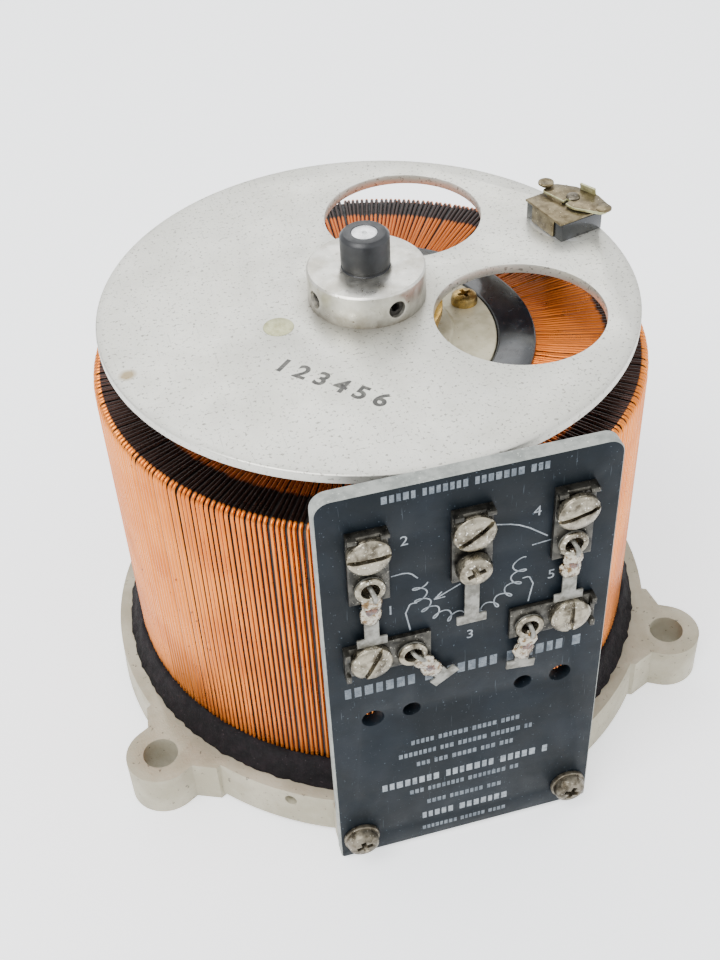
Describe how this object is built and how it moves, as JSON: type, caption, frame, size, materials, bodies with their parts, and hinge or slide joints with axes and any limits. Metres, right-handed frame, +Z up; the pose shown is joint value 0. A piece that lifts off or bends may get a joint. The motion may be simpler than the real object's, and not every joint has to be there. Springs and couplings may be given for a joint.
{
  "type": "variable autotransformer",
  "caption": "Open-frame variable autotransformer: a toroidal coil on a cast base, a turning disc that carries the brush, and a terminal board.",
  "frame": {"origin": "on the shaft's axis, in the plane of the three ears' undersides", "axes": "+Z up along the shaft towards its free end; the terminal board stands on the -Y side and faces -Y; the rear ear is on +Y"},
  "size_m": [0.1288, 0.1406, 0.1057],
  "materials": {
    "cast_aluminium": "sand-cast, unpainted, warm grey",
    "core_steel": "wound silicon-steel strip",
    "core_cap_plastic": "moulded insulating caps",
    "enamelled_copper": "enamelled magnet wire with a bare, ground track",
    "fibre": "pressed fibre",
    "cement": "dark fibrous coil cement",
    "black_phenolic": "glossy moulded phenolic",
    "cream_casting": "cream, smooth casting",
    "bronze": "sintered bronze",
    "aged_bronze": "tarnished phosphor bronze",
    "slip_ring_brass": "turned brass",
    "plated_steel": "oxidised zinc plate",
    "shaft_steel": "turned steel",
    "black_sleeve": "black insulating tube",
    "hub_aluminium": "turned, with grime round its foot",
    "disc_aluminium": "satin rolled sheet, mottled and scratched",
    "olive_rivet": "alodised rivet",
    "carbon": "sintered carbon",
    "board_laminate": "blue-grey faced laminate, grey edges",
    "tarnished_nickel": "tarnished nickel-plated brass",
    "tinned_brass": "tinned, with flux stains",
    "lead_insulation": "varnished sleeving"
  },
  "bodies": {
    "base": {"base_casting": "cast_aluminium", "coil_column": "cast_aluminium", "core": "core_steel", "lower_core_cap": "core_cap_plastic", "upper_core_cap": "core_cap_plastic", "winding": "enamelled_copper", "lower_insulating_washer": "fibre", "cement_bead": "cement", "upper_insulating_washer": "black_phenolic", "clamp_plate": "cream_casting", "clamp_screws": "plated_steel", "stop_post": "plated_steel", "upper_bushing": "bronze", "lower_bushing": "bronze", "contact_insulator": "black_phenolic", "contact_leaf": "aged_bronze", "contact_screw": "plated_steel", "terminal_board": "board_laminate", "board_screws": "plated_steel", "lock_washers": "plated_steel", "upper_left_strap": "tarnished_nickel", "upper_center_strap": "tarnished_nickel", "upper_right_strap": "tarnished_nickel", "lower_left_strap": "tarnished_nickel", "lower_right_strap": "tarnished_nickel", "binding_screws": "tarnished_nickel", "upper_left_lug": "tinned_brass", "upper_center_lug": "tinned_brass", "upper_right_lug": "tinned_brass", "lower_left_lug": "tinned_brass", "lower_right_lug": "tinned_brass", "center_lug_screw": "tarnished_nickel", "eyelets": "tinned_brass", "upper_left_tap_lead": "enamelled_copper", "upper_right_tap_lead": "enamelled_copper", "lower_left_tap_lead": "enamelled_copper", "lower_right_tap_lead": "enamelled_copper", "brush_lead": "lead_insulation"},
    "rotor": {"shaft_core": "shaft_steel", "shaft_sleeve": "black_sleeve", "upper_thrust_washer": "fibre", "lower_thrust_washer": "fibre", "retaining_ring": "plated_steel", "hub_collar": "hub_aluminium", "set_screws": "plated_steel", "backing_ring": "hub_aluminium", "slip_ring": "slip_ring_brass", "radiator_disc": "disc_aluminium", "stop_arm": "plated_steel", "stop_rivet": "olive_rivet", "brush_holder": "black_phenolic", "holder_cage": "aged_bronze", "brush_spring": "plated_steel", "clip_pin": "aged_bronze"},
    "brush": {"carbon_brush": "carbon"},
    "clip": {"brush_clip": "aged_bronze"}
  },
  "joints": [
    {"name": "rotor_turn", "type": "hinge", "parent": "base", "child": "rotor", "pos_m": [0, 0, 0], "axis": [0, 0, 1], "range_deg": [-85, 235]},
    {"name": "brush_press", "type": "slide", "parent": "rotor", "child": "brush", "axis": [0, 0, 1], "range_m": [0, 0.0015], "stiffness_N_per_m": 300, "springref_m": -0.006, "deforming": ["brush_spring"]},
    {"name": "clip_turn", "type": "hinge", "parent": "rotor", "child": "clip", "pos_m": [0.04733, 0.01268, 0.0963], "axis": [0, 0, 1], "range_deg": [0, 90]}
  ]
}
